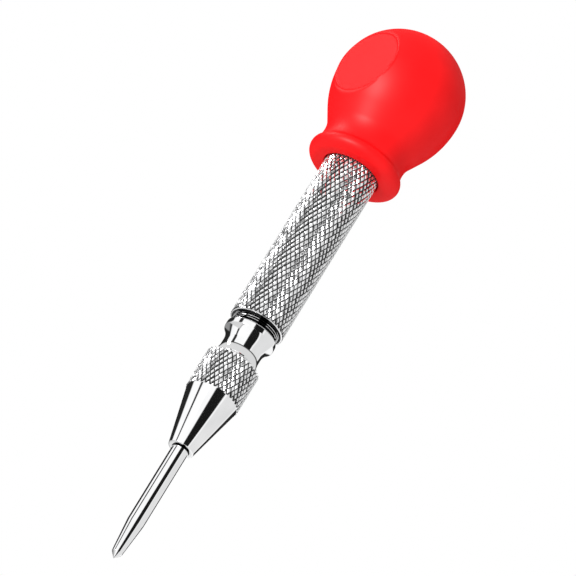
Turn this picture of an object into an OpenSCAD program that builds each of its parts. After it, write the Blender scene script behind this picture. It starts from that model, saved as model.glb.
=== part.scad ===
// Automatic center punch, standing on its point.
// The axis is Z, with the point of the punch at the origin and the cap at the top.
// All sizes are in millimetres, drawn at rest: punch out, hammer down, cap at its middle setting.

/* [Punch] */
// Diameter of the punch shank
punch_d = 4; // [3.5:0.1:4.2]
// Height of the ground point
point_h = 1.6; // [1:0.1:3]
// Diameter at the base of the ground point
point_d = 2.5; // [1.5:0.1:3]
// Height at which the tapered end meets the shank
taper_h = 10.3; // [8:0.1:14]
// Travel of the punch from out to release
stroke = 12; // [10:0.5:12]

/* [Nosepiece] */
// Height of the nose's front face above the point
nose_z = 31.2; // [28:0.1:34]
// Diameter of the front face
nose_d = 6.1; // [5.5:0.1:7]
// Length of the cone behind the front face
nose_cone_h = 14.2; // [10:0.1:18]
// Diameter at the wide end of the cone
nose_cone_d = 12.4; // [11:0.1:12.6]
// Diameter over the knurled band
nose_knurl_d = 12.9; // [12:0.1:12.9]
// Length of the knurled band
nose_knurl_h = 9.4; // [6:0.1:12]
// Diameter of the waist behind the knurled band
waist_d = 9.4; // [8.8:0.1:9.6]
// Length from the knurled band to the top of the flange
waist_h = 9.25; // [8:0.05:12]
// Diameter of the flange
flange_d = 12.1; // [11.6:0.1:12.6]
// Thickness of the flange's rim
flange_h = 1.35; // [0.8:0.05:2]

/* [Barrel] */
// Diameter over the knurl
barrel_d = 13; // [12.9:0.1:14]
// Length of knurled grip between the nosepiece and the cap
grip_l = 44.35; // [40:0.05:50]
// Clear gap between the flange and the barrel, where thread shows
thread_gap = 2.15; // [0.5:0.05:2.5]
// Diameter of the nosepiece's thread
nose_thread_d = 11.2; // [10.8:0.1:11.4]
// Pitch of the nosepiece's thread
nose_thread_pitch = 0.57; // [0.5:0.01:0.8]

/* [Striking gear] */
// Diameter of the hammer
hammer_d = 9.44; // [9:0.02:9.5]
// Length of the hammer's body
hammer_l = 16; // [12:0.5:18]
// Lean of the trigger pin at rest, in degrees
trigger_lean = 2.1; // [1:0.1:2.1]
// Wire diameter of the main spring
main_wire_d = 1.2; // [0.8:0.1:1.4]
// Turns of the main spring
main_turns = 7; // [5:1:8]
// Wire diameter of the trigger spring
trigger_wire_d = 0.44; // [0.3:0.02:0.5]
// Turns of the trigger spring
trigger_turns = 9; // [6:1:11]

/* [Cap] */
// Diameter of the bulb
bulb_d = 29.7; // [29:0.1:32]
// Height of the bulb's centre above the cap's mouth
bulb_h = 22.75; // [20:0.25:25]
// Diameter over the lip at the mouth
lip_d = 22.3; // [20:0.1:24]
// Diameter of the rolled section of the lip
lip_roll_d = 3.5; // [3:0.1:5]
// Diameter of the neck between lip and bulb
neck_d = 20; // [18:0.1:21]
// Diameter of the flat round face on the bulb
face_d = 16.5; // [12:0.5:18]
// Distance from the axis to the flat round face
face_offset = 12.3; // [12:0.1:13.5]
// Direction of the flat round face around the axis, in degrees
face_angle = 225; // [0:5:360]

/* [Hidden] */
$fn = 96;
chrome = [0.82, 0.83, 0.85];
steel = [0.62, 0.63, 0.66];
spring_steel = [0.42, 0.43, 0.46];
red = [0.86, 0.05, 0.06];

// Clearances and edges
slip = 0.05;
loose = 0.08;
rest_gap = 0.05;
mould_gap = 0.02;
bevel = 0.4;
small_bevel = 0.2;

// Lengths along the axis that the driving dimensions leave open
knurl_step_h = 0.3;
guide_l = 16.3;
spigot_l = 8.4;
barrel_l = 65.4;
mouth_gap = 0.15;

// Heights along the axis
cone_top = nose_z + nose_cone_h;
knurl_z = cone_top + knurl_step_h;
knurl_top = knurl_z + nose_knurl_h;
flange_top = knurl_top + waist_h;
barrel_z = flange_top + thread_gap;
barrel_top = barrel_z + barrel_l;
grip_top = barrel_z + grip_l;
mouth_z = grip_top + mouth_gap;
bulb_z = mouth_z + bulb_h;

// Nosepiece
guide_r = punch_d / 2 + slip;
chamber_r = 3.4;
chamber_z = nose_z + guide_l;
spigot_r = nose_thread_d / 2;
spigot_top = barrel_z + spigot_l;
nose_thread_depth = 0.35;
edge = 0.25;
guide_bevel = 0.12;
rear_chamfer = 0.4;
throat_r = 5;
throat_edge_r = 5.9;
flare_r = 4.2;

// Punch, with a groove at the nose's face and a tail in the plunger
groove_depth = 0.2;
groove_w = 0.95;
groove_z = nose_z - 0.35;
tail_step = 0.05;
tail_l = 3.9;
tail_bevel = 0.3;

// Plunger
plunger_r = chamber_r - loose;
plunger_z = chamber_z + rest_gap;
plunger_h = 6.95;
plunger_top = plunger_z + plunger_h;
pin_top = plunger_z + tail_l;

// Barrel inside, from the socket upwards
socket_top = spigot_top + 0.3;
land_r = 4;
land_h = 1.5;
bore_r = hammer_d / 2 + loose;
cap_run_r = barrel_d / 2 - 0.2;

// Centering bush
bush_r = bore_r - mould_gap;
bush_z = socket_top + land_h;
bush_h = 5.5;
bush_top = bush_z + bush_h;
bush_hole_r = 2.25;
bush_hole_h = 2.7;
bush_mouth_r = 2.9;
bush_bevel = 0.3;

// Trigger pin, from its round foot upwards
foot_r = 1.5;
foot_z = plunger_top + 0.5;
collar_r = 3.1;
collar_z = foot_z + 0.6;
collar_top = collar_z + 1.4;
stem_r = 2;
stem_top = bush_top - stroke + 1.4;
stem_taper_h = 1;
rod_r = 1.2;
rod_top = bush_top - 0.3;

// Trigger spring
trigger_coil_r = 3.05;
trigger_coil_z = collar_top + 0.15;

// Hammer
hammer_z = bush_top + rest_gap;
hammer_top = hammer_z + hammer_l;
hammer_hole_r = rod_r + 0.2;
hammer_hole_top = hammer_z + stroke;
drill_tip_h = 0.8;
pilot_r = 2.6;
pilot_h = 2;

// Main spring and its upper seat
main_coil_r = 3.9;
seat_z = barrel_top - 9;
seat_h = 1.2;
seat_r = bore_r - 0.1;

// Adjusting screw
screw_r = 5;
screw_z = seat_z + seat_h + rest_gap;
screw_pitch = 1;
screw_thread_depth = 0.5;
screw_bore_z = barrel_top - 12;
screw_head_z = barrel_top + 3.5;
screw_head_h = 4;
screw_head_af = 15;
screw_head_r = screw_head_af / 2 / cos(30);

// Cap
lip_r = lip_roll_d / 2;
lip_drop = 0.25;
lip_centre = [lip_d / 2 - lip_r, mouth_z + lip_drop + lip_r];
lip_start = -50;
crease_angle = 50;
mouth_edge = 0.3;
mouth_pull = 1.2;
cap_hole_r = barrel_d / 2 + 0.25;
cap_pocket_r = 4;
neck_r = neck_d / 2;
neck_top = mouth_z + 9.15;
neck_pull = 1.8;
cone_pull = 1.5;
bulb_r = bulb_d / 2;
shoulder_angle = -27;
shoulder_end = -3;
shoulder_r = bulb_r + 7.5;
face_z = bulb_z - 0.5;

// Points of an arc in the half plane of a turned outline
function arc(centre, r, from, to, steps) =
    [for (i = [0:steps]) let (a = from + (to - from) * i / steps) centre + r * [cos(a), sin(a)]];

// Points of a curve that leaves and arrives along given handles
function bezier(p0, p1, p2, p3, steps) =
    [for (i = [0:steps]) let (t = i / steps, u = 1 - t)
        u * u * u * p0 + 3 * u * u * t * p1 + 3 * u * t * t * p2 + t * t * t * p3];

// Zigzag of a thread's crests and roots, drawn as rings
function thread_rings(r, depth, z0, z1, pitch) =
    [for (z = [z0:pitch:z1 - pitch])
        each [[r, z + 0.3 * pitch], [r - depth, z + 0.5 * pitch], [r, z + 0.7 * pitch]]];

// Rings of a round wire wound into a coil with open ends
wire_sides = 6;
rings_per_turn = 12;
function coil_points(r, wire_r, z0, z1, turns) =
    [for (i = [0:turns * rings_per_turn], k = [0:wire_sides - 1])
        let (
            around = 360 * i / rings_per_turn,
            across = 360 * k / wire_sides,
            reach = r + wire_r * cos(across),
            z = z0 + wire_r + (z1 - z0 - 2 * wire_r) * i / (turns * rings_per_turn)
        )
        [reach * cos(around), reach * sin(around), z + wire_r * sin(across)]];

module coil(r, wire_d, z0, z1, turns) {
    n = turns * rings_per_turn;
    m = wire_sides;
    sides = [for (i = [0:n - 1], k = [0:m - 1])
        let (a = i * m + k, b = i * m + (k + 1) % m)
        each [[a, a + m, b], [b, a + m, b + m]]];
    ends = [[for (k = [0:m - 1]) k], [for (k = [0:m - 1]) n * m + m - 1 - k]];
    echo(least_gap_between_turns = (z1 - z0 - wire_d) / turns - wire_d);
    polyhedron(coil_points(r, wire_d / 2, z0, z1, turns), concat(sides, ends));
}

module punch_pin() {
    r = punch_d / 2;
    color(steel)
    rotate_extrude()
    polygon([
        [0, 0],
        [point_d / 2, point_h],
        [r, taper_h],
        [r, groove_z],
        [r - groove_depth, groove_z],
        [r - groove_depth, groove_z + groove_w],
        [r, groove_z + groove_w],
        [r, plunger_z],
        [r - tail_step, plunger_z],
        [r - tail_step, pin_top - tail_bevel],
        [r - tail_step - tail_bevel, pin_top],
        [0, pin_top]
    ]);
}

module plunger() {
    color(steel)
    difference() {
        rotate_extrude()
        polygon([
            [0, plunger_z],
            [plunger_r - bevel, plunger_z],
            [plunger_r, plunger_z + bevel],
            [plunger_r, plunger_top - bevel],
            [plunger_r - bevel, plunger_top],
            [0, plunger_top]
        ]);
        translate([0, 0, plunger_z - 1])
        cylinder(r = punch_d / 2 - tail_step, h = pin_top - plunger_z + 1);
        translate([0, 0, foot_z])
        sphere(r = foot_r + slip);
    }
}

module nosepiece() {
    knurl_r = nose_knurl_d / 2;
    waist_r = waist_d / 2;
    flange_r = flange_d / 2;
    rim_z = flange_top - flange_h;
    flare_angle = acos(1 - (flange_r - waist_r) / flare_r);
    flare_z = rim_z - flare_r * sin(flare_angle);
    throat_angle = acos(1 - (throat_edge_r - waist_r) / throat_r);
    throat_z = knurl_top + rear_chamfer + throat_r * sin(throat_angle);
    outside = concat(
        [[nose_d / 2 - edge, nose_z], [nose_d / 2, nose_z + edge]],
        [[nose_cone_d / 2, cone_top], [knurl_r, knurl_z]],
        [[knurl_r, knurl_top]],
        arc([waist_r + throat_r, throat_z], throat_r, 180 + throat_angle, 180, 8),
        arc([waist_r + flare_r, flare_z], flare_r, 180, 180 - flare_angle, 8),
        [[flange_r, flange_top - edge], [flange_r - edge, flange_top], [spigot_r, flange_top]],
        thread_rings(spigot_r, nose_thread_depth, flange_top, spigot_top - bevel, nose_thread_pitch),
        [[spigot_r, spigot_top - bevel], [spigot_r - bevel, spigot_top]]
    );
    inside = [
        [chamber_r, spigot_top],
        [chamber_r, chamber_z],
        [guide_r, chamber_z],
        [guide_r, nose_z + guide_bevel],
        [guide_r + guide_bevel, nose_z]
    ];
    color(chrome)
    rotate_extrude()
    polygon(concat(outside, inside));
}

module barrel() {
    r = barrel_d / 2;
    color(chrome)
    rotate_extrude()
    polygon([
        [spigot_r + slip, barrel_z],
        [r - bevel, barrel_z],
        [r, barrel_z + bevel],
        [r, grip_top],
        [cap_run_r, grip_top],
        [cap_run_r, barrel_top - bevel],
        [cap_run_r - bevel, barrel_top],
        [screw_r + slip, barrel_top],
        [screw_r + slip, screw_bore_z],
        [bore_r, screw_bore_z],
        [bore_r, bush_z],
        [land_r, bush_z],
        [land_r, socket_top],
        [spigot_r + slip, socket_top]
    ]);
}

module centering_bush() {
    color(steel)
    rotate_extrude()
    polygon([
        [bush_mouth_r, bush_z],
        [bush_r - bush_bevel, bush_z],
        [bush_r, bush_z + bush_bevel],
        [bush_r, bush_top - bush_bevel],
        [bush_r - bush_bevel, bush_top],
        [bush_hole_r, bush_top],
        [bush_hole_r, bush_top - bush_hole_h]
    ]);
}

module trigger_pin() {
    color(steel)
    translate([0, 0, foot_z])
    rotate([0, trigger_lean, 0])
    translate([0, 0, -foot_z])
    rotate_extrude()
    polygon(concat(
        arc([0, foot_z], foot_r, -90, 0, 8),
        [[foot_r, collar_z], [collar_r - small_bevel, collar_z], [collar_r, collar_z + small_bevel]],
        [[collar_r, collar_top - small_bevel], [collar_r - small_bevel, collar_top]],
        [[stem_r, collar_top], [stem_r, stem_top], [rod_r, stem_top + stem_taper_h]],
        [[rod_r, rod_top - small_bevel], [rod_r - small_bevel, rod_top], [0, rod_top]]
    ));
}

module trigger_spring() {
    color(spring_steel)
    coil(trigger_coil_r, trigger_wire_d, trigger_coil_z, bush_z - rest_gap, trigger_turns);
}

module hammer() {
    r = hammer_d / 2;
    color(steel)
    rotate_extrude()
    polygon([
        [hammer_hole_r + small_bevel, hammer_z],
        [r - bevel, hammer_z],
        [r, hammer_z + bevel],
        [r, hammer_top - bevel],
        [r - bevel, hammer_top],
        [pilot_r, hammer_top],
        [pilot_r, hammer_top + pilot_h - bevel],
        [pilot_r - bevel, hammer_top + pilot_h],
        [0, hammer_top + pilot_h],
        [0, hammer_hole_top + drill_tip_h],
        [hammer_hole_r, hammer_hole_top],
        [hammer_hole_r, hammer_z + small_bevel]
    ]);
}

module main_spring() {
    color(spring_steel)
    coil(main_coil_r, main_wire_d, hammer_top + rest_gap, seat_z - rest_gap, main_turns);
}

module spring_seat() {
    color(steel)
    rotate_extrude()
    polygon([
        [0, seat_z - pilot_h],
        [pilot_r - bevel, seat_z - pilot_h],
        [pilot_r, seat_z - pilot_h + bevel],
        [pilot_r, seat_z],
        [seat_r, seat_z],
        [seat_r, seat_z + seat_h],
        [0, seat_z + seat_h]
    ]);
}

module adjusting_screw() {
    color(steel)
    union() {
        rotate_extrude()
        polygon(concat(
            [[0, screw_z], [screw_r - bevel, screw_z], [screw_r, screw_z + bevel]],
            thread_rings(
                screw_r, screw_thread_depth, screw_z + screw_pitch, screw_head_z - screw_pitch, screw_pitch
            ),
            [[screw_r, screw_head_z + bevel], [0, screw_head_z + bevel]]
        ));
        translate([0, 0, screw_head_z])
        cylinder(r = screw_head_r, h = screw_head_h, $fn = 6);
    }
}

module cap() {
    roll = lip_centre + lip_r * [cos(lip_start), sin(lip_start)];
    roll_slope = [-sin(lip_start), cos(lip_start)];
    mouth = [cap_hole_r + mouth_edge, mouth_z];
    crease = lip_centre + lip_r * [cos(crease_angle), sin(crease_angle)];
    shoulder_centre = [bulb_r - shoulder_r, bulb_z];
    shoulder = shoulder_centre + shoulder_r * [cos(shoulder_angle), sin(shoulder_angle)];
    shoulder_slope = [-sin(shoulder_angle), cos(shoulder_angle)];
    cone_start = shoulder - (shoulder[1] - neck_top) / shoulder_slope[1] * shoulder_slope;
    outline = concat(
        arc([mouth[0], mouth_z + mouth_edge], mouth_edge, 180, 270, 4),
        bezier(mouth, mouth + [mouth_pull, 0], roll - mouth_pull * roll_slope, roll, 6),
        arc(lip_centre, lip_r, lip_start, crease_angle, 12),
        bezier(
            crease,
            [neck_r - 0.3, crease[1] + neck_pull],
            cone_start - cone_pull * shoulder_slope,
            cone_start,
            8
        ),
        arc(shoulder_centre, shoulder_r, shoulder_angle, shoulder_end, 7),
        arc([0, bulb_z], bulb_r, 0, 90, 24)
    );
    inside = [
        [0, screw_head_z + screw_head_h + mould_gap],
        [cap_pocket_r, screw_head_z + screw_head_h + mould_gap],
        [cap_pocket_r, screw_head_z],
        [cap_hole_r, screw_head_z]
    ];
    color(red)
    difference() {
        rotate_extrude()
        polygon(concat(outline, inside));
        translate([0, 0, screw_head_z - mould_gap])
        cylinder(r = screw_head_r + mould_gap, h = screw_head_h + 2 * mould_gap, $fn = 6);
        rotate([0, 0, face_angle])
        translate([face_offset, 0, face_z])
        rotate([0, 90, 0])
        cylinder(d = face_d, h = bulb_r);
    }
}

punch_pin();
plunger();
nosepiece();
barrel();
centering_bush();
trigger_pin();
trigger_spring();
hammer();
main_spring();
spring_seat();
adjusting_screw();
cap();
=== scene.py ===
# Automatic center punch: the pieces that show, their finishes, and a plain studio around them.
# Outlines are (radius, height) in millimetres: the axis stands upright and the point is at zero.
import math
import random

import bmesh
import bpy
from mathutils import Matrix, Vector


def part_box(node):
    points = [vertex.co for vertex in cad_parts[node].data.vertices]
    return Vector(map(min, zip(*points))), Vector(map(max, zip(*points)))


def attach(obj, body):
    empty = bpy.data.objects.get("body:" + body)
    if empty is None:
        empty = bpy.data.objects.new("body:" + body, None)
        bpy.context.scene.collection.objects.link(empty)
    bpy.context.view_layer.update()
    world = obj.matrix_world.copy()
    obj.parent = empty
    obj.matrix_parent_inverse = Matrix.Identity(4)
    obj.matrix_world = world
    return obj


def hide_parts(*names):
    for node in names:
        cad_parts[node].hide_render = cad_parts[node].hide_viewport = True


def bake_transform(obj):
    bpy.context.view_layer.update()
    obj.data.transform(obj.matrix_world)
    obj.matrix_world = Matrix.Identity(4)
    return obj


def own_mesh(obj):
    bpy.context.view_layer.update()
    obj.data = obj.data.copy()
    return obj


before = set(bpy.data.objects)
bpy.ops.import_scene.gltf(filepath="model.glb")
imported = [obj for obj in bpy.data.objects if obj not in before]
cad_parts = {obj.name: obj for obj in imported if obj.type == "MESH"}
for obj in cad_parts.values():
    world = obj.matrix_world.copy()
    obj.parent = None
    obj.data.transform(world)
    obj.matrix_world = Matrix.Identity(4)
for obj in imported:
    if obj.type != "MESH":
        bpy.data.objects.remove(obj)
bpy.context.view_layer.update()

MM = 0.001
FULL_TURN = 2 * math.pi
# Less than any size of the tool, for telling which side of a limit a vertex is on
HAIR = 0.01


def span(node):
    """Lowest and highest point of a CAD node along the axis, in millimetres."""
    low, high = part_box(node)
    return low[2] / MM, high[2] / MM


# Heights that the CAD model fixes
nose_z, spigot_top = span("nosepiece")
barrel_z, barrel_top = span("barrel")
mouth_z, cap_top = span("cap")
pin_top = span("punch_pin")[1]
head_z = span("adjusting_screw")[1]

# Punch: the arc of its tip ends at so many degrees, and its cone starts at a share of its size
PIN_SEGMENTS = 96
PIN_R = 2.0
PIN_TAIL_R = 1.95
PIN_TAIL_Z = nose_z + 16
PIN_TAIL_CHAMFER = 0.3
TIP_R = 0.12
TIP_END = -38
TIP_STEPS = 5
TIP_SHARE = 0.2
POINT_R = 1.25
POINT_H = 1.6
POINT_EASE = 0.05
TAPER_H = 10.3
TAPER_EASE = 0.25
GROOVE_R = 1.8
GROOVE_Z = nose_z - 0.35
GROOVE_W = 0.95

# Nosepiece, from its front to its flange
GUIDE_R = 2.05
GUIDE_BEVEL = 0.12
GUIDE_EASE = 0.04
CHAMBER_R = 3.4
CHAMBER_Z = nose_z + 16.3
NOSE_R = 3.05
NOSE_EASE = 0.2
CONE_R = 6.2
CONE_TOP = nose_z + 14.2
CONE_EASE = 0.1
NOSE_KNURL_R = 6.45
NOSE_KNURL_Z = CONE_TOP + 0.3
NOSE_KNURL_ROWS = 9
NOSE_KNURL_GAP = 0.12
REAR_CHAMFER = 0.4
REAR_CHAMFER_DROP = 0.35
WAIST_R = 4.7
THROAT_R = 5.0
THROAT_EDGE_R = 5.9
THROAT_STEPS = 12
FLARE_R = 4.2
FLARE_STEPS = 18
FLANGE_R = 6.05
FLANGE_TOP = barrel_z - 2.15
FLANGE_EASE = 0.18
FLANGE_RIM = 1.35
RIM_EASE = 0.08

# Spigot of the nosepiece and its thread
SPIGOT_EASE = 0.1
SPIGOT_CHAMFER = 0.4
SPIGOT_CHAMFER_H = 0.3
THREAD_R = 5.6
THREAD_ROOT_R = 5.2
THREAD_FOOT_R = THREAD_ROOT_R - 0.1
THREAD_FOOT_HALF = 0.26
THREAD_CREST_HALF = 0.05
THREAD_PITCH = 0.57
THREAD_START = 0.45
THREAD_RUN_OUT = 0.8
THREAD_STEPS = 72
# Mask value on the thread's crest: lighter painted shade than the full painted shade on its flanks
THREAD_CREST_SHADE_MASK = 0.6

# Knurl, shared by the nosepiece and the barrel
KNURL_COLUMNS = 72
KNURL_HALF_PITCH = 1.0444
KNURL_DEPTH = 0.22
KNURL_FLAT = 0.42
KNURL_SCATTER = 0.06
KNURL_SEED = 5

# Barrel
BARREL_R = 6.5
BARREL_CHAMFER = 0.25
BARREL_EASE = 0.1
BARREL_KNURL_ROWS = 46
BARREL_KNURL_GAP = 0.1
BARREL_KNURL_END = 0.4
CAP_RUN_R = 6.3
CAP_RUN_CHAMFER = 0.4
SCREW_BORE_R = 5.05
SCREW_BORE_Z = barrel_top - 12
BORE_R = 4.8
LAND_R = 4.0
SOCKET_R = 5.65
SOCKET_TOP = spigot_top + 0.3
LAND_TOP = SOCKET_TOP + 1.5

# Cap
CAP_SEGMENTS = 320
CAP_HOLE_R = 6.75
LIP_R = 1.75
LIP_CENTRE = (9.4, mouth_z + 0.25 + LIP_R)
LIP_START = -50
LIP_STEPS = 30
MOUTH_EDGE = 0.3
MOUTH_EDGE_STEPS = 6
MOUTH_PULL = 1.2
MOUTH_STEPS = 14
CREASE_ANGLE = 50
NECK_R = 9.7
NECK_TOP = mouth_z + 9.15
NECK_PULL = 1.8
NECK_STEPS = 16
CONE_PULL = 1.5
CONE_STEPS = 12
BULB_R = 14.85
BULB_Z = cap_top - BULB_R
BULB_STEPS = 72
SHOULDER_R = BULB_R + 7.5
SHOULDER_ANGLE = -27
SHOULDER_END = -3
SHOULDER_STEPS = 32
HEAD_R = 8.7
HEAD_H = 4.0

# Round face of the cap: what lies beyond its wall, seen from the axis, is on the outside
FACE_R = 8.25
FACE_OFFSET = 12.3
FACE_Z = BULB_Z - 0.5
FACE_ANGLE = math.radians(225)
FACE_BLEND = 2.2
FACE_WALL = HEAD_R + 0.5
BEAD_W = 0.34
BEAD_H = 0.13
BEAD_CUTS = 3

# Springs
WIRE_SIDES = 16
WIRE_STEPS = 48

# Easing of corners: its steps, and how far outside it the next points lie, as a share of its size
EASE_STEPS = 4
EASE_MARGIN = 0.6
# Edges that turn by more than this aren't shaded smooth
SHARP_ANGLE = math.radians(32)
# Values of the painted shade mask: full painted shade, a near-black tone for the dark of grooves,
# holes and gaps, and none
PAINTED_SHADE = 0.0
NO_PAINTED_SHADE = 1.0
# Place of the knurl's finish among a piece's materials
KNURL_FINISH = 1
# Most values of a noise lie between these two
NOISE_LOW = 0.3
NOISE_HIGH = 0.7

# Camera, aimed at a point near the axis, in metres
AZIMUTH = math.radians(8.6)
ELEVATION = math.radians(-27)
ROLL = math.radians(31.64)
CAMERA_DISTANCE = 5.0
SENSOR_WIDTH = 36
PICTURE_PIXELS = 576
PIXELS_PER_MM = 4.55
PICTURE_WIDTH = PICTURE_PIXELS / PIXELS_PER_MM * MM
AIM_HEIGHT = 0.0788
AIM_ASIDE = 0.00148

# Lamps and floor, in metres
LAMP_DISTANCE = 1.2
FLOOR_Z = -2.45
FLOOR_SIZE = 0.95
FLOOR_CELLS = 8

# Light and dark panels of the studio: (degrees to the right of the camera's own direction, tone)
PANELS = [
    (-180, 0.02), (-112, 0.02), (-107, 1.05), (-74, 1.05), (-72, 0.03), (-65, 0.03), (-63, 1.05),
    (-8, 1.05), (-5, 0.01), (36, 0.01), (38, 1.0), (43, 1.0), (46, 0.8),
    (119, 0.8), (121, 1.0), (126, 1.0), (130, 0.02), (180, 0.02),
]
# What covers the panels starts at the first value of a pair and is full at the second.
# Heights are sines of the angle above level, and sides are degrees as in the panels.
# A dark gap and a pale ceiling above the panels
GAP_HEIGHT = (0.5, 0.54)
GAP_TONE = 0.03
CEILING_HEIGHT = (0.56, 0.62)
CEILING_TONE = 0.74
# A notch on the left where the gap reaches further down, seen in the pin as a thin line
NOTCH_HEIGHT = (0.22, 0.32)
NOTCH_LEFT = (-80, -78)
NOTCH_RIGHT = (-62, -64)
# The backdrop low behind the tool, lit on the right and dimmer on the left
BACKDROP_HEIGHT = (0.2, 0.1)
BACKDROP_RIGHT = (115, 130)
BACKDROP_RIGHT_TONE = 1.0
BACKDROP_LEFT = (-115, -130)
BACKDROP_LEFT_TONE = 0.3
# A greyer patch low on the left
LOW_LEFT_HEIGHT = (-0.3, -0.4)
LOW_LEFT_SIDE = (-60, -72)
LOW_LEFT_TONE = 0.7
# Plain light on soft surfaces, which grows from above to below
AMBIENT_ABOVE = 0.6
AMBIENT_BELOW = 1.0
AMBIENT_HEIGHT = (0.3, -0.9)


# Outlines

def arc(centre, radius, start, end, steps):
    """Points along an arc, with its angles in degrees."""
    turns = [math.radians(start + (end - start) * i / steps) for i in range(steps + 1)]
    return [(centre[0] + radius * math.cos(a), centre[1] + radius * math.sin(a)) for a in turns]


def sweep(aside, radius):
    """Degrees of an arc that starts upright and bends that far aside."""
    return math.degrees(math.acos(1 - aside / radius))


def slope_at(angle):
    """Direction in which an arc goes on at an angle in degrees."""
    turn = math.radians(angle)
    return -math.sin(turn), math.cos(turn)


def moved(point, direction, distance):
    """A point moved along a direction."""
    return point[0] + distance * direction[0], point[1] + distance * direction[1]


def straight(start, end, steps):
    """Points along a straight line, without its ends."""
    return [tuple(a + (b - a) * i / steps for a, b in zip(start, end)) for i in range(1, steps)]


def bezier(p0, p1, p2, p3, steps):
    """Points along a cubic curve from p0 to p3 that leaves and arrives along its handles."""
    out = []
    for i in range(steps + 1):
        t = i / steps
        u = 1 - t
        weights = (u * u * u, 3 * u * u * t, 3 * u * t * t, t * t * t)
        out.append(tuple(sum(w * p[k] for w, p in zip(weights, (p0, p1, p2, p3))) for k in (0, 1)))
    return out


def eased(corners):
    """An open outline with its corners eased: each corner is (radius, height, size of the easing).

    Two points just outside each easing keep the shading of the long faces beside it flat.
    """
    out = [tuple(corners[0][:2])]
    for before, here, after in zip(corners, corners[1:], corners[2:]):
        size = here[2] if len(here) > 2 else 0
        corner = Vector(here[:2])
        if not size:
            out.append(tuple(corner))
            continue
        back = (Vector(before[:2]) - corner).normalized()
        ahead = (Vector(after[:2]) - corner).normalized()
        start, end = corner + back * size, corner + ahead * size
        out.append(tuple(start + back * size * EASE_MARGIN))
        for i in range(EASE_STEPS + 1):
            t = i / EASE_STEPS
            out.append(tuple((1 - t) ** 2 * start + 2 * t * (1 - t) * corner + t * t * end))
        out.append(tuple(end + ahead * size * EASE_MARGIN))
    out.append(tuple(corners[-1][:2]))
    return out


# Meshes

def new_bmesh():
    """An empty mesh with a mask of painted shade, for the dark of its grooves, holes and gaps."""
    bm = bmesh.new()
    painted_shade_mask = bm.verts.layers.float.new("painted_shade_mask")
    return bm, painted_shade_mask


def mark(bm, painted_shade_mask, in_painted_shade):
    """Marks each vertex made so far with painted shade, where in_painted_shade(radius, height), or
    with none.
    """
    for vertex in bm.verts:
        gets_painted_shade = in_painted_shade(vertex.co.xy.length / MM, vertex.co.z / MM)
        vertex[painted_shade_mask] = PAINTED_SHADE if gets_painted_shade else NO_PAINTED_SHADE


def at(radius, turn, height):
    """The place, in metres, of a radius and a height in millimetres at a turn about the axis."""
    return radius * math.cos(turn) * MM, radius * math.sin(turn) * MM, height * MM


def ring(bm, radius, height, count):
    """Vertices of one level ring, or a single vertex on the axis."""
    if radius < HAIR:
        return [bm.verts.new((0, 0, height * MM))]
    return [bm.verts.new(at(radius, FULL_TURN * i / count, height)) for i in range(count)]


def skin(bm, lower, upper):
    """Smooth faces between two rings of the same count, or a ring and a point on the axis."""
    count = max(len(lower), len(upper))
    for i in range(count):
        j = (i + 1) % count
        if len(lower) == 1:
            corners = (lower[0], upper[j], upper[i])
        elif len(upper) == 1:
            corners = (lower[i], lower[j], upper[0])
        else:
            corners = (lower[i], lower[j], upper[j], upper[i])
        bm.faces.new(corners).smooth = True


def skin_outline(bm, outline, count):
    """Turns an open outline about the axis, and returns its first and last ring."""
    rings = [ring(bm, radius, height, count) for radius, height in outline]
    for lower, upper in zip(rings, rings[1:]):
        skin(bm, lower, upper)
    return rings[0], rings[-1]


def knurl_levels(radius, start, rows):
    """Crest radius and height of each half row of a straight knurl."""
    return [(radius, start + k * KNURL_HALF_PITCH) for k in range(rows + 1)]


def knurl(bm, painted_shade_mask, levels):
    """A diamond knurl of blunt points: levels are (crest radius, height) of each half row.

    Points and groove crossings take turns along and around. A point is a small flat with a corner
    on each side, which shrinks to one vertex in the end rows. Returns the first and last row.
    """
    chance = random.Random(KNURL_SEED)

    def corner(turn, height, reach, value):
        vertex = bm.verts.new(at(reach, turn, height))
        vertex[painted_shade_mask] = value
        return vertex

    def stray():
        return chance.uniform(-KNURL_SCATTER, KNURL_SCATTER)

    column = FULL_TURN / KNURL_COLUMNS
    aside, along = KNURL_FLAT * column, KNURL_FLAT * KNURL_HALF_PITCH
    sides = ((aside, 0), (0, along), (-aside, 0), (0, -along))
    east, north, west, south = range(len(sides))
    rows = []
    for k, (radius, height) in enumerate(levels):
        at_end = k in (0, len(levels) - 1)
        row = []
        for m in range(KNURL_COLUMNS):
            turn, z = column * m, height
            if not at_end:
                turn, z = turn + stray() / radius, z + stray()
            # Groove crossings get full painted shade, points none
            if (k + m) % 2 == 0:
                row.append([corner(turn, z, radius - KNURL_DEPTH, PAINTED_SHADE)] * len(sides))
            elif at_end:
                row.append([corner(turn, z, radius, NO_PAINTED_SHADE)] * len(sides))
            else:
                flat = [corner(turn + a, z + h, radius, NO_PAINTED_SHADE) for a, h in sides]
                bm.faces.new(flat).material_index = KNURL_FINISH
                row.append(flat)
        rows.append(row)
    for k, (lower, upper) in enumerate(zip(rows, rows[1:])):
        for m in range(KNURL_COLUMNS):
            n = (m + 1) % KNURL_COLUMNS
            a, b, c, d = lower[m], lower[n], upper[n], upper[m]
            if (k + m) % 2:
                facets = ((a[east], b[0], d[0], a[north]), (c[west], d[0], b[0], c[south]))
            else:
                facets = ((b[north], c[0], a[0], b[west]), (d[south], a[0], c[0], d[east]))
            for facet in facets:
                bm.faces.new(list(dict.fromkeys(facet))).material_index = KNURL_FINISH
    return [point[0] for point in rows[0]], [point[0] for point in rows[-1]]


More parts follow.
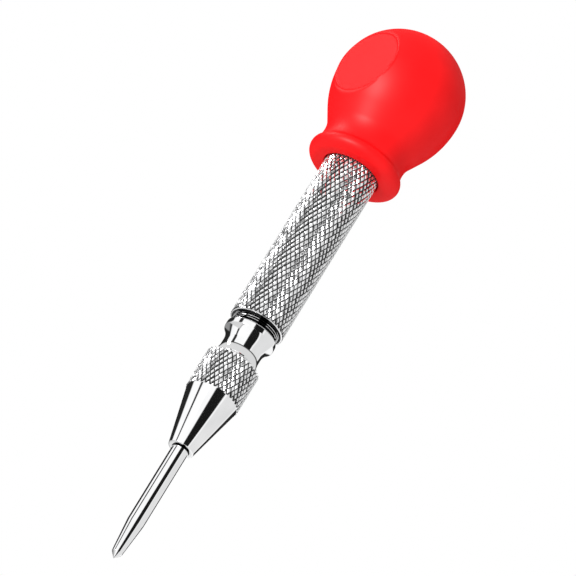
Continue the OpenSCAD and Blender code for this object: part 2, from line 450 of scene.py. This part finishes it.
def helix_strip(bm, section, turns, pitch, start, per_turn):
    """Winds a bar with a section of (radius, height) about the axis, and returns its vertices."""
    levels = []
    for i in range(turns * per_turn + 1):
        turn = FULL_TURN * i / per_turn
        rise = start + pitch * i / per_turn
        levels.append([bm.verts.new(at(radius, turn, z + rise)) for radius, z in section])
    for here, ahead in zip(levels, levels[1:]):
        skin(bm, here, ahead)
    for end in (levels[0], levels[-1]):
        bm.faces.new(end)
    return [vertex for level in levels for vertex in level]


def new_piece(name, bm, materials, body, node):
    """Makes a piece from a mesh and hides the CAD node that it takes the place of.

    It rides on its body, or on none where no body is given.
    """
    bmesh.ops.recalc_face_normals(bm, faces=bm.faces)
    mesh = bpy.data.meshes.new(name)
    bm.to_mesh(mesh)
    bm.free()
    mesh.set_sharp_from_angle(angle=SHARP_ANGLE)
    piece = bpy.data.objects.new(name, mesh)
    bpy.context.scene.collection.objects.link(piece)
    for material in materials:
        mesh.materials.append(material)
    if body:
        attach(piece, body)
    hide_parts(node)
    return piece


# Materials

def start_material(name):
    """A node material with its object coordinates, in metres."""
    material = bpy.data.materials.new(name)
    material.use_nodes = True
    tree = material.node_tree
    place = tree.nodes.new("ShaderNodeTexCoord").outputs["Object"]
    return material, tree, tree.nodes["Principled BSDF"], place


def noise(tree, place, grain, detail=4.0):
    """A noise whose grain is its size across and along the axis, in millimetres."""
    across, along = [1 / (size * MM) for size in grain]
    mapping = tree.nodes.new("ShaderNodeMapping")
    mapping.inputs["Scale"].default_value = (across, across, along)
    texture = tree.nodes.new("ShaderNodeTexNoise")
    texture.inputs["Scale"].default_value = 1.0
    texture.inputs["Detail"].default_value = detail
    tree.links.new(place, mapping.inputs["Vector"])
    tree.links.new(mapping.outputs["Vector"], texture.inputs["Vector"])
    return texture.outputs["Fac"]


def ramp(tree, value, stops):
    """Colours along a value: stops are (position, colour)."""
    node = tree.nodes.new("ShaderNodeValToRGB")
    elements = node.color_ramp.elements
    for i, (position, colour) in enumerate(stops):
        element = elements[i] if i < 2 else elements.new(position)
        element.position = position
        element.color = (*colour, 1)
    tree.links.new(value, node.inputs["Fac"])
    return node.outputs["Color"]


def spread(tree, value, low, high):
    """A noise value spread over the range from low to high."""
    node = tree.nodes.new("ShaderNodeMapRange")
    node.inputs["From Min"].default_value = NOISE_LOW
    node.inputs["From Max"].default_value = NOISE_HIGH
    node.inputs["To Min"].default_value = low
    node.inputs["To Max"].default_value = high
    tree.links.new(value, node.inputs["Value"])
    return node.outputs["Result"]


def bump(tree, shader, value, height):
    """A surface relief of that height in millimetres."""
    node = tree.nodes.new("ShaderNodeBump")
    node.inputs["Strength"].default_value = 1.0
    node.inputs["Distance"].default_value = height * MM
    tree.links.new(value, node.inputs["Height"])
    tree.links.new(node.outputs["Normal"], shader.inputs["Normal"])


def metal(name, dark, light, roughness, tone_grain, line_grain, line_height):
    """A bare or plated metal: slow changes of tone, changing polish and fine machining lines."""
    material, tree, shader, place = start_material(name)
    shader.inputs["Metallic"].default_value = 1.0
    tone = noise(tree, place, tone_grain)
    colour = ramp(tree, tone, [(NOISE_LOW, dark), (NOISE_HIGH, light)])
    tree.links.new(colour, shader.inputs["Base Color"])
    polish = noise(tree, place, tone_grain, detail=8.0)
    tree.links.new(spread(tree, polish, *roughness), shader.inputs["Roughness"])
    bump(tree, shader, noise(tree, place, line_grain), line_height)
    return material, tree, shader, colour


def metal_with_painted_shade(name, metallic, roughness, painted_shade_fade):
    """Bright metal with painted shade, a near-black tone in its grooves, holes and gaps, which
    ends between two values of the mask.
    """
    material, tree, shader, colour = metal(
        name,
        dark=(0.88, 0.885, 0.89),
        light=(0.97, 0.97, 0.975),
        roughness=roughness,
        tone_grain=(4, 6),
        line_grain=(3, 0.12),
        line_height=0.0006,
    )
    shader.inputs["Metallic"].default_value = metallic
    painted_shade_mask = tree.nodes.new("ShaderNodeAttribute")
    painted_shade_mask.attribute_name = "painted_shade_mask"
    # Near-black painted shade where the mask is low, the metal's own tone where it is high
    painted_shade_tones = ((0.02, 0.02, 0.022), (1, 1, 1))
    painted_shade_tint = ramp(tree, painted_shade_mask.outputs["Fac"], list(zip(painted_shade_fade, painted_shade_tones)))
    mix = tree.nodes.new("ShaderNodeMix")
    mix.data_type = "RGBA"
    mix.blend_type = "MULTIPLY"
    mix.inputs["Factor"].default_value = 1.0
    tree.links.new(colour, mix.inputs["A"])
    tree.links.new(painted_shade_tint, mix.inputs["B"])
    tree.links.new(mix.outputs["Result"], shader.inputs["Base Color"])
    return material


def rubber_material():
    """Satin red moulded rubber with a fine grain and faint handling marks."""
    material, tree, shader, place = start_material("red rubber")
    tone = noise(tree, place, grain=(6, 6), detail=5.0)
    colour = ramp(tree, tone, [(0.25, (0.88, 0.001, 0.003)), (0.75, (0.96, 0.003, 0.005))])
    tree.links.new(colour, shader.inputs["Base Color"])
    shader.inputs["Specular IOR Level"].default_value = 0.0
    shader.inputs["Coat Weight"].default_value = 0.2
    shader.inputs["Coat IOR"].default_value = 1.9
    shader.inputs["Coat Roughness"].default_value = 0.45
    polish = noise(tree, place, grain=(2.5, 2.5), detail=6.0)
    tree.links.new(spread(tree, polish, low=0.5, high=0.6), shader.inputs["Roughness"])
    skin_grain = noise(tree, place, grain=(0.22, 0.22), detail=3.0)
    bump(tree, shader, skin_grain, height=0.012)
    return material


# Each metal's painted shade in grooves, holes and gaps fades out between the two values given
chrome = metal_with_painted_shade("chrome", metallic=1.0, roughness=(0.03, 0.08), painted_shade_fade=(0.3, 0.7))
punch_steel = metal_with_painted_shade("punch steel", metallic=1.0, roughness=(0.03, 0.07), painted_shade_fade=(0.3, 0.7))
knurled_chrome = metal_with_painted_shade(
    "knurled chrome", metallic=0.9, roughness=(0.12, 0.2), painted_shade_fade=(0.2, 0.66)
)
tool_steel = metal(
    "tool steel",
    dark=(0.42, 0.43, 0.45),
    light=(0.62, 0.63, 0.65),
    roughness=(0.22, 0.38),
    tone_grain=(3, 3),
    line_grain=(2, 0.1),
    line_height=0.003,
)[0]
spring_wire = metal(
    "spring wire",
    dark=(0.24, 0.24, 0.25),
    light=(0.42, 0.42, 0.44),
    roughness=(0.25, 0.42),
    tone_grain=(1.5, 1.5),
    line_grain=(0.3, 0.3),
    line_height=0.003,
)[0]
red_rubber = rubber_material()


# Punch

def make_punch_pin():
    """Ground pin with a blunt point, a taper and a plain shank."""
    bm, painted_shade_mask = new_bmesh()
    tip = arc((0, TIP_R), TIP_R, -90, TIP_END, TIP_STEPS)
    shank = eased([
        (POINT_R * TIP_SHARE, POINT_H * TIP_SHARE),
        (POINT_R, POINT_H, POINT_EASE),
        (PIN_R, TAPER_H, TAPER_EASE),
        (PIN_R, GROOVE_Z),
        (GROOVE_R, GROOVE_Z),
        (GROOVE_R, GROOVE_Z + GROOVE_W),
        (PIN_R, GROOVE_Z + GROOVE_W),
        (PIN_R, PIN_TAIL_Z),
        (PIN_TAIL_R, PIN_TAIL_Z),
        (PIN_TAIL_R, pin_top - PIN_TAIL_CHAMFER),
        (PIN_TAIL_R - PIN_TAIL_CHAMFER, pin_top),
        (0, pin_top),
    ])
    skin_outline(bm, tip + shank, PIN_SEGMENTS)

    # Painted shade in the pin's groove, where it runs into the guide
    def in_painted_shade(radius, height):
        return height > TAPER_H and radius < GROOVE_R + HAIR

    mark(bm, painted_shade_mask, in_painted_shade)
    new_piece("punch_pin_ground", bm, [punch_steel], "punch", "punch_pin")


# Nosepiece

def nose_front():
    """Outline from the chamber through the guide and up the cone to the knurl."""
    chamber = [(CHAMBER_R, spigot_top), (CHAMBER_R, CHAMBER_Z)]
    return chamber + eased([
        (GUIDE_R, CHAMBER_Z),
        (GUIDE_R, nose_z + GUIDE_BEVEL),
        (GUIDE_R + GUIDE_BEVEL, nose_z, GUIDE_EASE),
        (NOSE_R, nose_z, NOSE_EASE),
        (CONE_R, CONE_TOP, CONE_EASE),
        (NOSE_KNURL_R - KNURL_DEPTH, NOSE_KNURL_Z - NOSE_KNURL_GAP),
    ])


def nose_rear(start_z):
    """Outline from behind the knurl over the waist and the flange to the end of the spigot."""
    throat_sweep = sweep(THROAT_EDGE_R - WAIST_R, THROAT_R)
    throat_z = start_z + THROAT_R * math.sin(math.radians(throat_sweep))
    throat = arc((WAIST_R + THROAT_R, throat_z), THROAT_R, 180 + throat_sweep, 180, THROAT_STEPS)
    flare_sweep = sweep(FLANGE_R - WAIST_R, FLARE_R)
    flare_z = FLANGE_TOP - FLANGE_RIM - FLARE_R * math.sin(math.radians(flare_sweep))
    flare = arc((WAIST_R + FLARE_R, flare_z), FLARE_R, 180, 180 - flare_sweep, FLARE_STEPS)
    return throat + flare[:-2] + eased([
        flare[-2],
        (*flare[-1], RIM_EASE),
        (FLANGE_R, FLANGE_TOP, FLANGE_EASE),
        (THREAD_ROOT_R, FLANGE_TOP, SPIGOT_EASE),
        (THREAD_ROOT_R, spigot_top - SPIGOT_CHAMFER_H),
        (THREAD_ROOT_R - SPIGOT_CHAMFER, spigot_top),
    ])


def wind_thread(bm, painted_shade_mask):
    """Winds the thread on the spigot, with full painted shade on its flanks and lighter painted
    shade on its crest.
    """
    section = [
        (THREAD_FOOT_R, -THREAD_FOOT_HALF),
        (THREAD_R, -THREAD_CREST_HALF),
        (THREAD_R, THREAD_CREST_HALF),
        (THREAD_FOOT_R, THREAD_FOOT_HALF),
    ]
    turns = int((spigot_top - THREAD_RUN_OUT - FLANGE_TOP) / THREAD_PITCH)
    start = FLANGE_TOP + THREAD_START
    for vertex in helix_strip(bm, section, turns, THREAD_PITCH, start, THREAD_STEPS):
        on_top = vertex.co.xy.length > THREAD_ROOT_R * MM
        vertex[painted_shade_mask] = THREAD_CREST_SHADE_MASK if on_top else PAINTED_SHADE


def make_nosepiece():
    """Cone, knurled band, waist and flange in one, with the thread that shows below the barrel."""
    bm, painted_shade_mask = new_bmesh()
    levels = knurl_levels(NOSE_KNURL_R, NOSE_KNURL_Z, NOSE_KNURL_ROWS)
    rear_z = levels[-1][1] + REAR_CHAMFER
    levels.append((NOSE_KNURL_R - REAR_CHAMFER_DROP, rear_z - NOSE_KNURL_GAP))
    front_start, front_end = skin_outline(bm, nose_front(), KNURL_COLUMNS)
    rear_start, rear_end = skin_outline(bm, nose_rear(rear_z), KNURL_COLUMNS)
    skin(bm, rear_end, front_start)

    # Painted shade inside the guide and its bevel, and on the spigot between the turns of the
    # thread
    def in_painted_shade(radius, height):
        in_guide = height < CHAMBER_Z and radius < GUIDE_R + GUIDE_BEVEL + HAIR
        in_thread = height > FLANGE_TOP - HAIR and radius < THREAD_R
        return in_guide or in_thread

    mark(bm, painted_shade_mask, in_painted_shade)
    low, high = knurl(bm, painted_shade_mask, levels)
    skin(bm, front_end, low)
    skin(bm, high, rear_start)
    wind_thread(bm, painted_shade_mask)
    finishes = [chrome, knurled_chrome]
    new_piece("nosepiece_knurled", bm, finishes, "barrel", "nosepiece")


# Barrel

def make_barrel():
    """Knurled tube, chamfered at its lower end and plain where it runs up inside the cap."""
    bm, painted_shade_mask = new_bmesh()
    knurl_z = barrel_z + BARREL_CHAMFER
    levels = knurl_levels(BARREL_R, knurl_z, BARREL_KNURL_ROWS)
    knurl_top = levels[-1][1]
    end_r = BARREL_R - BARREL_CHAMFER
    outline = eased([
        (CAP_RUN_R, knurl_top + BARREL_KNURL_END),
        (CAP_RUN_R, barrel_top - CAP_RUN_CHAMFER),
        (CAP_RUN_R - CAP_RUN_CHAMFER, barrel_top),
        (SCREW_BORE_R, barrel_top),
        (SCREW_BORE_R, SCREW_BORE_Z),
        (BORE_R, SCREW_BORE_Z),
        (BORE_R, LAND_TOP),
        (LAND_R, LAND_TOP),
        (LAND_R, SOCKET_TOP),
        (SOCKET_R, SOCKET_TOP),
        (SOCKET_R, barrel_z, BARREL_EASE),
        (end_r, barrel_z, BARREL_EASE),
        (BARREL_R - KNURL_DEPTH / 2, knurl_z - BARREL_KNURL_GAP),
    ])
    top, bottom = skin_outline(bm, outline, KNURL_COLUMNS)

    # Painted shade inside the socket at the lower end
    def in_painted_shade(radius, height):
        return height < SOCKET_TOP and radius < end_r - BARREL_EASE - HAIR

    mark(bm, painted_shade_mask, in_painted_shade)
    low, high = knurl(bm, painted_shade_mask, levels)
    skin(bm, bottom, low)
    skin(bm, high, top)
    finishes = [chrome, knurled_chrome]
    new_piece("barrel_knurled", bm, finishes, "barrel", "barrel")


# Cap

def cap_lip():
    """Outline of the rounded mouth and the rolled lip, out to the crease."""
    roll = arc(LIP_CENTRE, LIP_R, LIP_START, CREASE_ANGLE, LIP_STEPS)
    mouth_r = CAP_HOLE_R + MOUTH_EDGE
    edge = arc((mouth_r, mouth_z + MOUTH_EDGE), MOUTH_EDGE, 180, 270, MOUTH_EDGE_STEPS)
    face = bezier(
        (mouth_r, mouth_z),
        (mouth_r + MOUTH_PULL, mouth_z),
        moved(roll[0], slope_at(LIP_START), -MOUTH_PULL),
        roll[0],
        MOUTH_STEPS,
    )
    return edge + face[1:] + roll[1:]


def cap_outside(crease):
    """Outline from the crease up the neck, the cone and the bulb to the top."""
    shoulder_centre = (BULB_R - SHOULDER_R, BULB_Z)
    shoulder = arc(shoulder_centre, SHOULDER_R, SHOULDER_ANGLE, SHOULDER_END, SHOULDER_STEPS)
    slope = slope_at(SHOULDER_ANGLE)
    run = (shoulder[0][1] - NECK_TOP) / slope[1]
    cone_start = (shoulder[0][0] - run * slope[0], NECK_TOP)
    neck = bezier(
        crease,
        (NECK_R, crease[1] + NECK_PULL),
        moved(cone_start, slope, -CONE_PULL),
        cone_start,
        NECK_STEPS,
    )
    cone = straight(cone_start, shoulder[0], CONE_STEPS)
    bulb = arc((0, BULB_Z), BULB_R, 0, 90, BULB_STEPS)
    return neck[1:] + cone + shoulder + bulb[:-1] + [(0, cap_top)]


def bulb_radius(above):
    """Radius of the bulb at a height above its centre, or of its shoulder below the centre."""
    if above > 0:
        return math.sqrt(BULB_R * BULB_R - above * above)
    return math.sqrt(SHOULDER_R * SHOULDER_R - above * above) - (SHOULDER_R - BULB_R)


def flatten_face(bm):
    """Presses the flat round face into the side of the bulb, with a fine bead around it."""
    out = Vector((math.cos(FACE_ANGLE), math.sin(FACE_ANGLE), 0))
    centre = Vector((0, 0, FACE_Z))

    def split(vertex):
        offset = vertex.co / MM - centre
        reach = offset.dot(out)
        return offset - out * reach, reach

    def near(vertex, outer, inner=0):
        aside, reach = split(vertex)
        return reach > FACE_WALL and inner <= aside.length < outer

    bead = (FACE_R + 2 * BEAD_W, FACE_R - 2 * BEAD_W)
    edges = [edge for edge in bm.edges if all(near(vertex, *bead) for vertex in edge.verts)]
    bmesh.ops.subdivide_edges(bm, edges=edges, cuts=BEAD_CUTS, use_grid_fill=True)
    for vertex in bm.verts:
        if not near(vertex, FACE_R + FACE_BLEND):
            continue
        aside = split(vertex)[0]
        radius = bulb_radius(FACE_Z - BULB_Z + aside.z)
        surface = math.sqrt(radius * radius - aside.xy.length_squared)
        gap = aside.length - FACE_R
        flat = min(surface, FACE_OFFSET)
        share = min(max(gap / FACE_BLEND, 0), 1)
        rise = (surface - flat) * share * share * (3 - 2 * share)
        reach = flat + rise + BEAD_H * max(1 - (gap / BEAD_W) ** 2, 0)
        vertex.co = (centre + aside + out * reach) * MM
    for face in bm.faces:
        face.smooth = True


def make_cap():
    """Hollow red bulb with a rolled lip, a drawn-in neck and one flat round face."""
    bm = bmesh.new()
    inside = [
        (0, head_z),
        (HEAD_R, head_z),
        (HEAD_R, head_z - HEAD_H),
        (CAP_HOLE_R, head_z - HEAD_H),
    ]
    lip = cap_lip()
    skin_outline(bm, inside + lip + cap_outside(lip[-1]), CAP_SEGMENTS)
    flatten_face(bm)
    new_piece("cap_moulded", bm, [red_rubber], "cap", "cap")


# Springs

def wind_wire(node, wire, turns, start, pitch):
    """Mesh of a round wire wound as wide as a CAD coil, from the height of its first turn."""
    bm = bmesh.new()
    coil_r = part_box(node)[1][0] / MM - wire / 2
    section = arc((coil_r, 0), wire / 2, 0, 360, WIRE_SIDES)[:-1]
    helix_strip(bm, section, turns, pitch, start, WIRE_STEPS)
    return bm


def make_spring(node, wire, turns, top_turns=0):
    """An open coil as long and wide as its CAD coil.

    Its lower turns ride on the barrel, and its top turns, if any, are a piece of their own on no
    body.
    """
    low, high = span(node)
    first = low + wire / 2
    pitch = (high - low - wire) / turns
    lower_turns = turns - top_turns
    split = first + lower_turns * pitch
    bm = wind_wire(node, wire, lower_turns, first, pitch)
    lower = new_piece(node + "_wire", bm, [spring_wire], "barrel", node)
    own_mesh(lower)
    if top_turns:
        bm = wind_wire(node, wire, top_turns, split, pitch)
        upper = new_piece(node + "_top", bm, [spring_wire], None, node)
        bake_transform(upper)


# Camera

level = Vector((math.sin(AZIMUTH), -math.cos(AZIMUTH), 0))
towards_camera = level * math.cos(ELEVATION) + Vector((0, 0, math.sin(ELEVATION)))
level_right = Vector((math.cos(AZIMUTH), math.sin(AZIMUTH), 0))
level_up = towards_camera.cross(level_right)
right = level_right * math.cos(ROLL) + level_up * math.sin(ROLL)
up = level_up * math.cos(ROLL) - level_right * math.sin(ROLL)
aim = Vector((0, 0, AIM_HEIGHT)) + level_right * AIM_ASIDE


def add_camera():
    """Long lens from below the tool's point, rolled so that the tool leans to the right."""
    data = bpy.data.cameras.new("camera")
    data.sensor_width = SENSOR_WIDTH
    data.lens = SENSOR_WIDTH * CAMERA_DISTANCE / PICTURE_WIDTH
    camera = bpy.data.objects.new("camera", data)
    turn = Matrix((right, up, towards_camera)).transposed().to_4x4()
    camera.matrix_world = Matrix.Translation(aim + towards_camera * CAMERA_DISTANCE) @ turn
    bpy.context.scene.collection.objects.link(camera)
    bpy.context.scene.camera = camera


# Studio

def add_lamp(name, aside, above, size, energy):
    """A soft round lamp, by its degrees to the right of the camera's direction and above level."""
    data = bpy.data.lights.new(name, "AREA")
    data.shape = "DISK"
    data.size = size
    data.energy = energy
    lamp = bpy.data.objects.new(name, data)
    turn, height = math.radians(aside), math.radians(above)
    across = level * math.cos(turn) + level_right * math.sin(turn)
    direction = across * math.cos(height) + Vector((0, 0, math.sin(height)))
    facing = direction.to_track_quat("Z", "Y").to_matrix().to_4x4()
    lamp.matrix_world = Matrix.Translation(aim + direction * LAMP_DISTANCE) @ facing
    lamp.visible_camera = False
    bpy.context.scene.collection.objects.link(lamp)


def add_floor():
    """Pale floor well below the tool, which the camera looks up from."""
    bm = bmesh.new()
    bmesh.ops.create_grid(bm, x_segments=FLOOR_CELLS, y_segments=FLOOR_CELLS, size=FLOOR_SIZE)
    mesh = bpy.data.meshes.new("floor")
    bm.to_mesh(mesh)
    bm.free()
    floor = bpy.data.objects.new("floor", mesh)
    floor.location.z = FLOOR_Z
    bpy.context.scene.collection.objects.link(floor)
    material, tree, shader, place = start_material("pale floor")
    tone = noise(tree, place, grain=(900, 900))
    stops = [(NOISE_LOW, (0.86, 0.86, 0.85)), (NOISE_HIGH, (0.9, 0.9, 0.89))]
    tree.links.new(ramp(tree, tone, stops), shader.inputs["Base Color"])
    shader.inputs["Roughness"].default_value = 0.8
    mesh.materials.append(material)


def add_world():
    """White to the camera, even to soft surfaces, and a ring of panels to polished metal."""
    world = bpy.data.worlds.new("studio")
    bpy.context.scene.world = world
    world.use_nodes = True
    tree = world.node_tree
    background = tree.nodes["Background"]
    direction = tree.nodes.new("ShaderNodeSeparateXYZ")
    place = tree.nodes.new("ShaderNodeTexCoord").outputs["Generated"]
    tree.links.new(place, direction.inputs["Vector"])

    def calc(operation, *values):
        node = tree.nodes.new("ShaderNodeMath")
        node.operation = operation
        for socket, value in zip(node.inputs, values):
            if isinstance(value, (int, float)):
                socket.default_value = value
            else:
                tree.links.new(value, socket)
        return node.outputs[0]

    def blend(factor, first, second):
        node = tree.nodes.new("ShaderNodeMix")
        node.data_type = "RGBA"
        tree.links.new(factor, node.inputs["Factor"])
        for socket, value in ((node.inputs["A"], first), (node.inputs["B"], second)):
            if isinstance(value, (int, float)):
                socket.default_value = (value, value, value, 1)
            else:
                tree.links.new(value, socket)
        return node.outputs["Result"]

    def step(value, start, end):
        node = tree.nodes.new("ShaderNodeMapRange")
        node.interpolation_type = "SMOOTHSTEP"
        node.inputs["From Min"].default_value = start
        node.inputs["From Max"].default_value = end
        tree.links.new(value, node.inputs["Value"])
        return node.outputs["Result"]

    angle = calc("ARCTAN2", direction.outputs["Y"], direction.outputs["X"])
    camera_angle = math.atan2(towards_camera.y, towards_camera.x)
    turned = calc("WRAP", calc("SUBTRACT", angle, camera_angle), math.pi, -math.pi)
    height = direction.outputs["Z"]

    def cover(below, tone, heights, *sides):
        """Lays a tone over what is below it, as far as its heights and sides go."""
        factor = step(height, *heights)
        for side in sides:
            edge = step(turned, *[math.radians(a) for a in side])
            factor = calc("MULTIPLY", factor, edge)
        return blend(factor, below, tone)

    share = calc("ADD", calc("DIVIDE", turned, FULL_TURN), 0.5)
    studio = ramp(tree, share, [(a / 360 + 0.5, (tone, tone, tone)) for a, tone in PANELS])
    studio = cover(studio, GAP_TONE, NOTCH_HEIGHT, NOTCH_LEFT, NOTCH_RIGHT)
    studio = cover(studio, GAP_TONE, GAP_HEIGHT)
    studio = cover(studio, CEILING_TONE, CEILING_HEIGHT)
    studio = cover(studio, BACKDROP_RIGHT_TONE, BACKDROP_HEIGHT, BACKDROP_RIGHT)
    studio = cover(studio, BACKDROP_LEFT_TONE, BACKDROP_HEIGHT, BACKDROP_LEFT)
    studio = cover(studio, LOW_LEFT_TONE, LOW_LEFT_HEIGHT, LOW_LEFT_SIDE)
    ambient = cover(AMBIENT_ABOVE, AMBIENT_BELOW, AMBIENT_HEIGHT)
    path = tree.nodes.new("ShaderNodeLightPath")
    seen = blend(path.outputs["Is Glossy Ray"], ambient, studio)
    tree.links.new(blend(path.outputs["Is Camera Ray"], seen, 1.0), background.inputs["Color"])


# The pieces, with a better finish for the solids that stay, and the scene around them
make_punch_pin()
make_nosepiece()
make_barrel()
make_cap()
make_spring(
    "main_spring", wire=1.2, turns=7, top_turns=2
)
make_spring("trigger_spring", wire=0.44, turns=9)

inner_nodes = (
    "plunger", "centering_bush", "trigger_pin", "hammer", "spring_seat", "adjusting_screw"
)
for name in inner_nodes:
    for material_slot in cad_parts[name].material_slots:
        material_slot.material = tool_steel

add_camera()
add_lamp("key", aside=-42, above=-6, size=0.45, energy=14)
add_lamp("side", aside=-96, above=38, size=0.3, energy=4)
add_floor()
add_world()

bpy.context.scene.view_settings.view_transform = "Standard"
